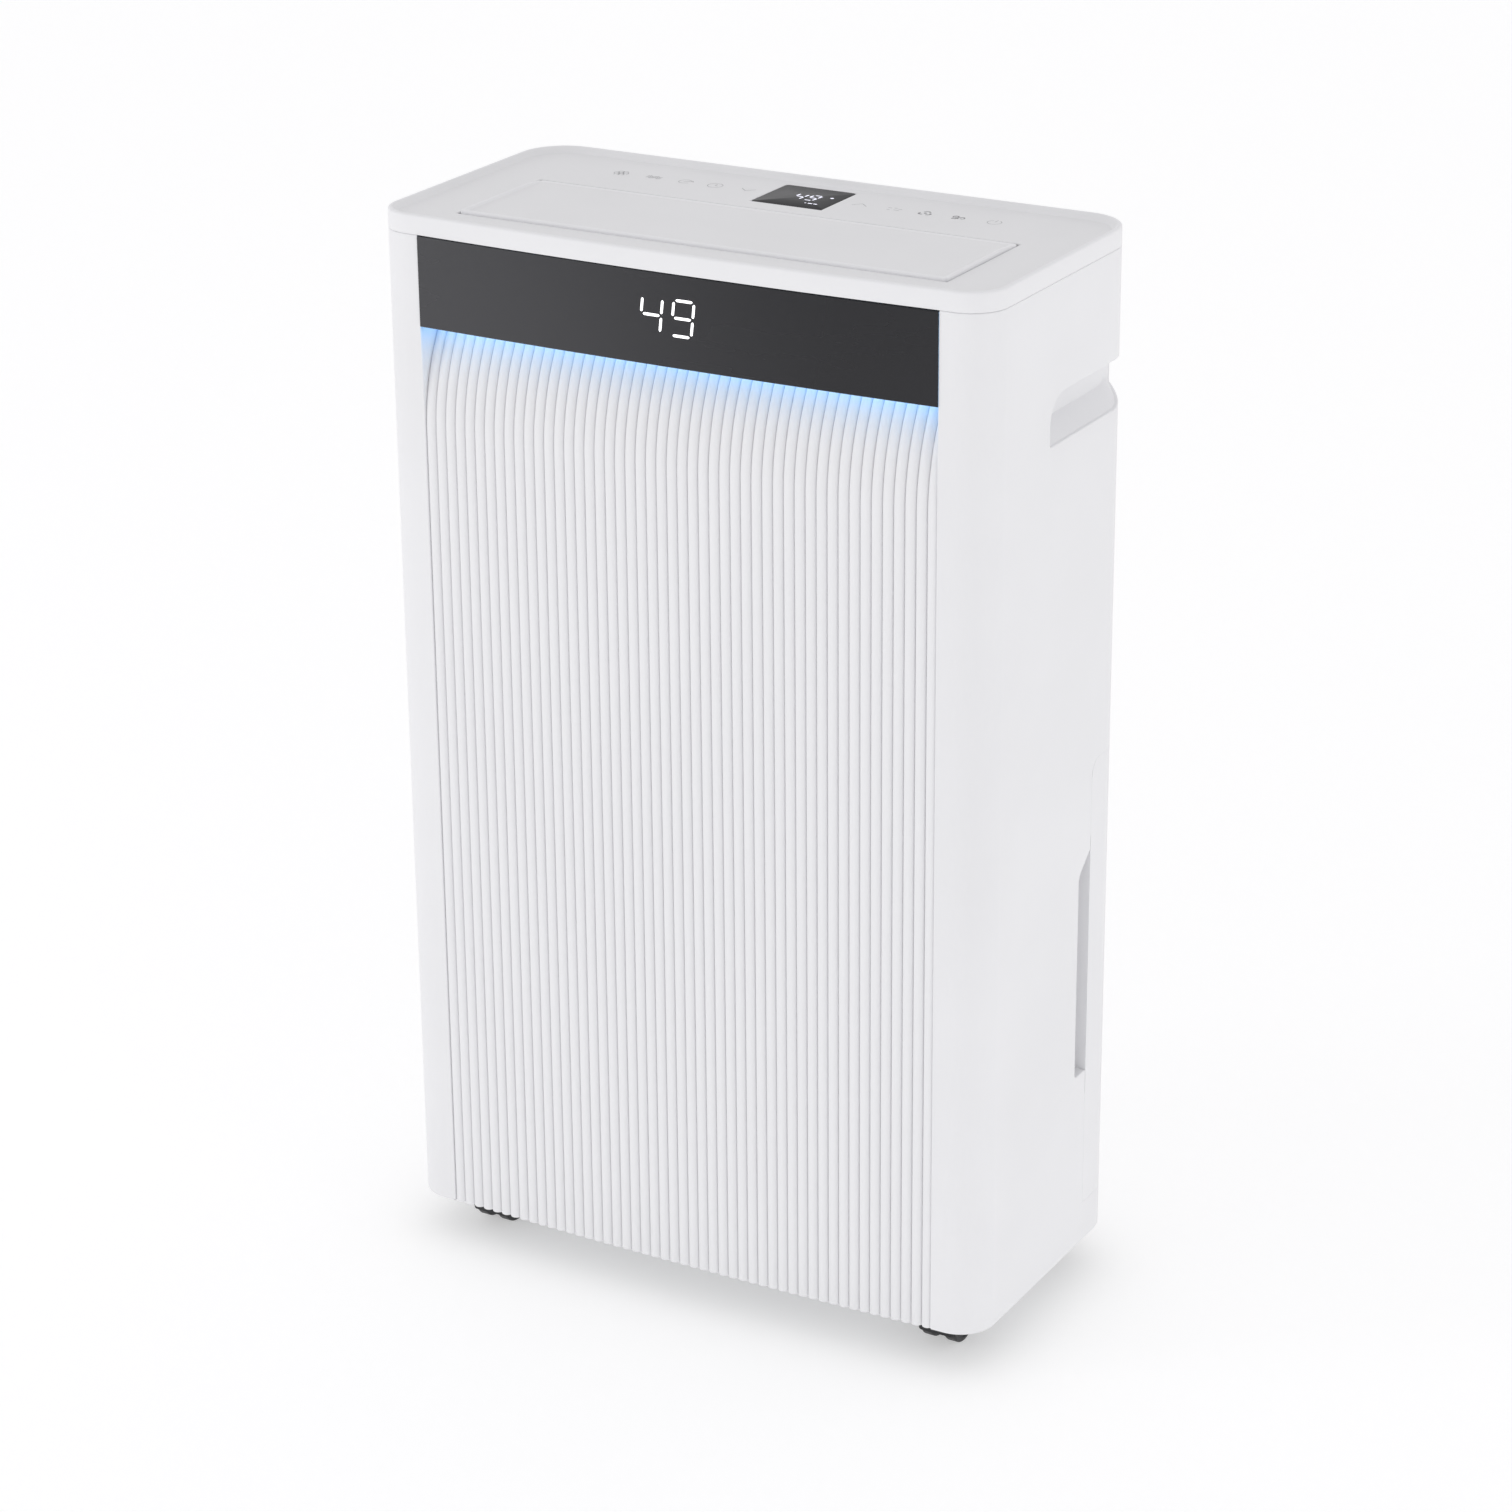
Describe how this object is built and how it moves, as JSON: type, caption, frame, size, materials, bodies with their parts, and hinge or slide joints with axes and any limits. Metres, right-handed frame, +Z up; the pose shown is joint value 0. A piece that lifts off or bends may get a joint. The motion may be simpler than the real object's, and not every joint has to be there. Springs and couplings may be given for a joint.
{
  "type": "dehumidifier",
  "caption": "Portable dehumidifier with a ribbed front, glowing display panel, hinged top outlet flap, rear pull-out water tank, intake grille and swivelling casters.",
  "frame": {"origin": "on the floor, under the middle of the outer box", "axes": "+Z up, -Y towards the ribbed front, +X to the right as seen from the front"},
  "size_m": [0.37, 0.1788, 0.615],
  "materials": {
    "white_plastic": "satin moulded",
    "black_gloss": "gloss",
    "black_plastic": "fine texture",
    "grey_plastic": "plain moulded",
    "light_strip": "frosted, lit",
    "clear_plastic": "clear",
    "aluminium": "plain fins",
    "copper": "drawn copper tube",
    "painted_steel": "black enamel",
    "circuit_board": "solder mask",
    "filter_mesh": "woven nylon mesh",
    "rubber": "matt",
    "zinc_steel": "zinc plated",
    "foam": "closed-cell foam"
  },
  "bodies": {
    "cabinet": {"cabinet": "white_plastic", "hand_grip_left": "white_plastic", "hand_grip_right": "white_plastic", "tank_grip_left": "white_plastic", "tank_grip_right": "white_plastic", "front_panel": "white_plastic", "display_panel": "black_gloss", "light_bar": "light_strip", "display_board": "circuit_board", "top_cover": "white_plastic", "top_window": "black_gloss", "touch_board": "circuit_board", "outlet_grille": "white_plastic", "evaporator_coil": "aluminium", "condenser_coil": "aluminium", "drip_tray": "grey_plastic", "compressor": "painted_steel", "terminal_cover": "black_plastic", "rubber_foot_1": "rubber", "rubber_foot_2": "rubber", "rubber_foot_3": "rubber", "suction_pipe": "copper", "discharge_pipe": "copper", "fan_housing": "grey_plastic", "fan_motor": "zinc_steel", "control_box": "grey_plastic", "run_capacitor": "zinc_steel", "humidity_sensor": "circuit_board", "tank_sensor": "black_plastic", "cord_gland": "black_plastic", "base_pan": "grey_plastic", "drain_spout": "white_plastic", "rear_screw_lower_left": "zinc_steel", "rear_screw_lower_right": "zinc_steel", "rear_screw_upper_left": "zinc_steel", "rear_screw_upper_right": "zinc_steel", "tank_bay": "grey_plastic", "caster_socket_front_left": "grey_plastic", "caster_socket_front_right": "grey_plastic", "caster_socket_rear_left": "grey_plastic", "caster_socket_rear_right": "grey_plastic"},
    "outlet_flap": {"outlet_flap": "white_plastic"},
    "fan_wheel": {"fan_wheel": "black_plastic"},
    "tank": {"tank_body": "white_plastic", "level_window": "clear_plastic", "tank_lid": "clear_plastic"},
    "tank_float": {"tank_float": "foam"},
    "rear_grille": {"rear_grille": "white_plastic", "filter_frame": "grey_plastic", "filter_mesh": "filter_mesh"},
    "drain_cap": {"drain_cap": "black_plastic"},
    "caster_swivel_front_left": {"caster_hood_front_left": "black_plastic"},
    "caster_wheels_front_left": {"caster_wheels_front_left": "black_plastic"},
    "caster_swivel_front_right": {"caster_hood_front_right": "black_plastic"},
    "caster_wheels_front_right": {"caster_wheels_front_right": "black_plastic"},
    "caster_swivel_rear_left": {"caster_hood_rear_left": "black_plastic"},
    "caster_wheels_rear_left": {"caster_wheels_rear_left": "black_plastic"},
    "caster_swivel_rear_right": {"caster_hood_rear_right": "black_plastic"},
    "caster_wheels_rear_right": {"caster_wheels_rear_right": "black_plastic"}
  },
  "joints": [
    {"name": "outlet_flap_hinge", "type": "hinge", "parent": "cabinet", "child": "outlet_flap", "pos_m": [0, 0.0212, 0.6094], "axis": [-1, 0, 0], "range_deg": [0, 70]},
    {"name": "fan_spin", "type": "hinge", "parent": "cabinet", "child": "fan_wheel", "pos_m": [0, 0, 0.457], "axis": [0, 1, 0], "continuous": true},
    {"name": "tank_slide", "type": "slide", "parent": "cabinet", "child": "tank", "axis": [0, 1, 0], "range_m": [0, 0.15]},
    {"name": "float_hinge", "type": "hinge", "parent": "tank", "child": "tank_float", "pos_m": [0.058, 0.0674, 0.285], "axis": [0, 1, 0], "range_deg": [0, 20]},
    {"name": "rear_grille_hinge", "type": "hinge", "parent": "cabinet", "child": "rear_grille", "pos_m": [0, 0.0879, 0.3445], "axis": [-1, 0, 0], "range_deg": [0, 35]},
    {"name": "drain_cap_pull", "type": "slide", "parent": "cabinet", "child": "drain_cap", "axis": [0, 1, 0], "range_m": [0, 0.02]},
    {"name": "caster_swivel_front_left_turn", "type": "hinge", "parent": "cabinet", "child": "caster_swivel_front_left", "pos_m": [-0.148, -0.0546, 0.02], "axis": [0, 0, 1], "continuous": true},
    {"name": "caster_wheels_front_left_roll", "type": "hinge", "parent": "caster_swivel_front_left", "child": "caster_wheels_front_left", "pos_m": [-0.148, -0.0476, 0.0135], "axis": [1, 0, 0], "continuous": true},
    {"name": "caster_swivel_front_right_turn", "type": "hinge", "parent": "cabinet", "child": "caster_swivel_front_right", "pos_m": [0.148, -0.0546, 0.02], "axis": [0, 0, 1], "continuous": true},
    {"name": "caster_wheels_front_right_roll", "type": "hinge", "parent": "caster_swivel_front_right", "child": "caster_wheels_front_right", "pos_m": [0.148, -0.0476, 0.0135], "axis": [1, 0, 0], "continuous": true},
    {"name": "caster_swivel_rear_left_turn", "type": "hinge", "parent": "cabinet", "child": "caster_swivel_rear_left", "pos_m": [-0.148, 0.0584, 0.02], "axis": [0, 0, 1], "continuous": true},
    {"name": "caster_wheels_rear_left_roll", "type": "hinge", "parent": "caster_swivel_rear_left", "child": "caster_wheels_rear_left", "pos_m": [-0.148, 0.0654, 0.0135], "axis": [1, 0, 0], "continuous": true},
    {"name": "caster_swivel_rear_right_turn", "type": "hinge", "parent": "cabinet", "child": "caster_swivel_rear_right", "pos_m": [0.148, 0.0584, 0.02], "axis": [0, 0, 1], "continuous": true},
    {"name": "caster_wheels_rear_right_roll", "type": "hinge", "parent": "caster_swivel_rear_right", "child": "caster_wheels_rear_right", "pos_m": [0.148, 0.0654, 0.0135], "axis": [1, 0, 0], "continuous": true}
  ]
}
